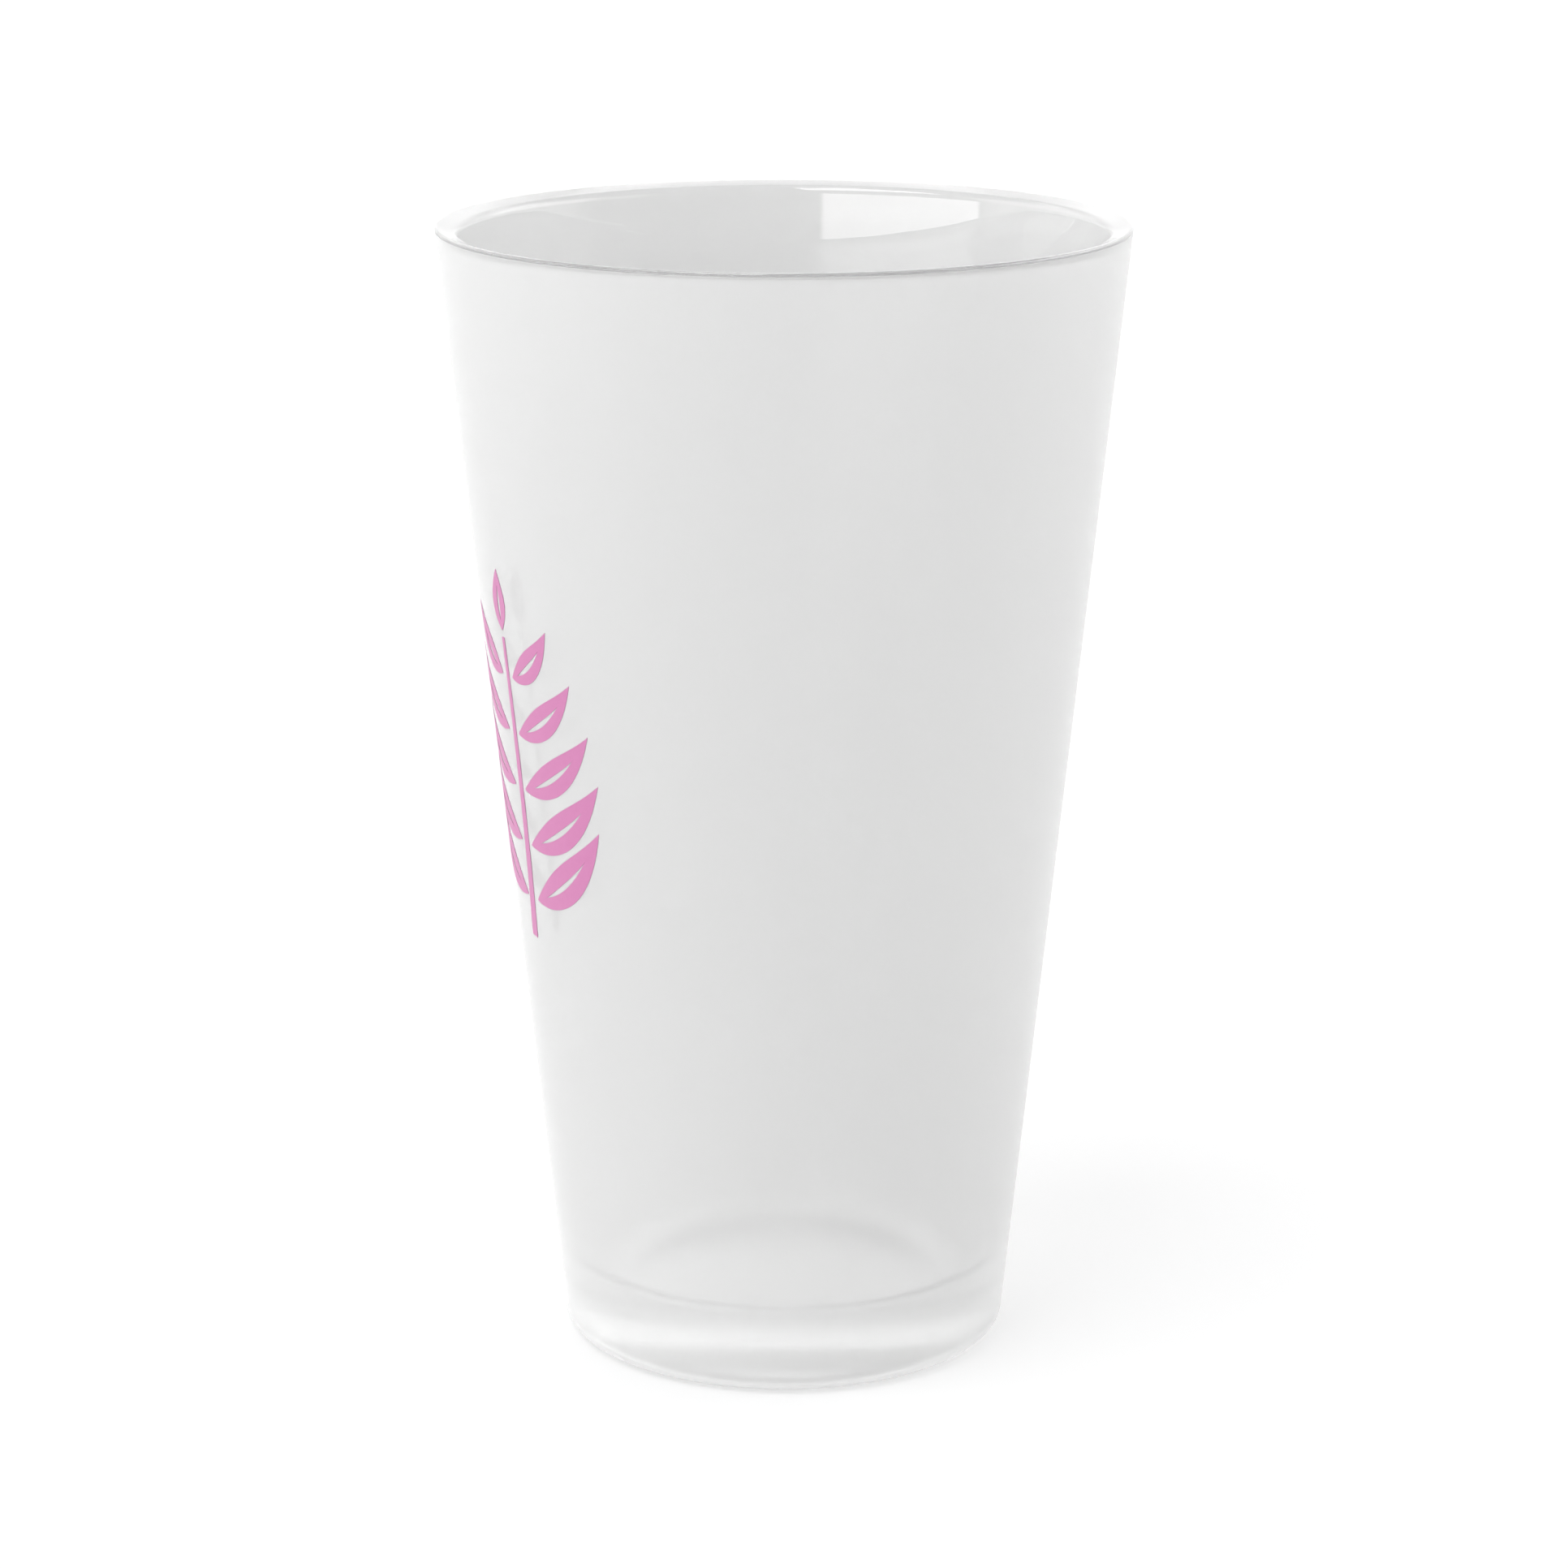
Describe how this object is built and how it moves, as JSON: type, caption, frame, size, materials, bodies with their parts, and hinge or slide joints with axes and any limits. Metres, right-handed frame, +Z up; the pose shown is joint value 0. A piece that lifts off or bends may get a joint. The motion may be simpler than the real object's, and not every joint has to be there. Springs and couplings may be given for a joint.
{
  "type": "pint glass",
  "caption": "Tapered thick-based drinking glass with a clear lip, a frosted outside and a printed leaf sprig.",
  "frame": {"origin": "centre of the foot ring, on the plane that the glass rests on", "axes": "+Z up along the glass's axis towards its mouth, -Y out of the middle of the print, +X to the right of the print as it is read"},
  "size_m": [0.0888, 0.0888, 0.1479],
  "materials": {
    "clear_glass": "clear soda-lime glass, fire-polished lip, glossy inside",
    "frost": "translucent satin frosted coating",
    "pink_ink": "satin pink print"
  },
  "bodies": {
    "root": {"glass_body": "clear_glass", "frosted_coating": "frost", "print_stem": "pink_ink", "print_tip_leaf": "pink_ink", "print_leaf_left_1": "pink_ink", "print_leaf_right_1": "pink_ink", "print_leaf_left_2": "pink_ink", "print_leaf_right_2": "pink_ink", "print_leaf_left_3": "pink_ink", "print_leaf_right_3": "pink_ink", "print_leaf_left_4": "pink_ink", "print_leaf_right_4": "pink_ink", "print_leaf_left_5": "pink_ink", "print_leaf_right_5": "pink_ink"}
  },
  "joints": []
}
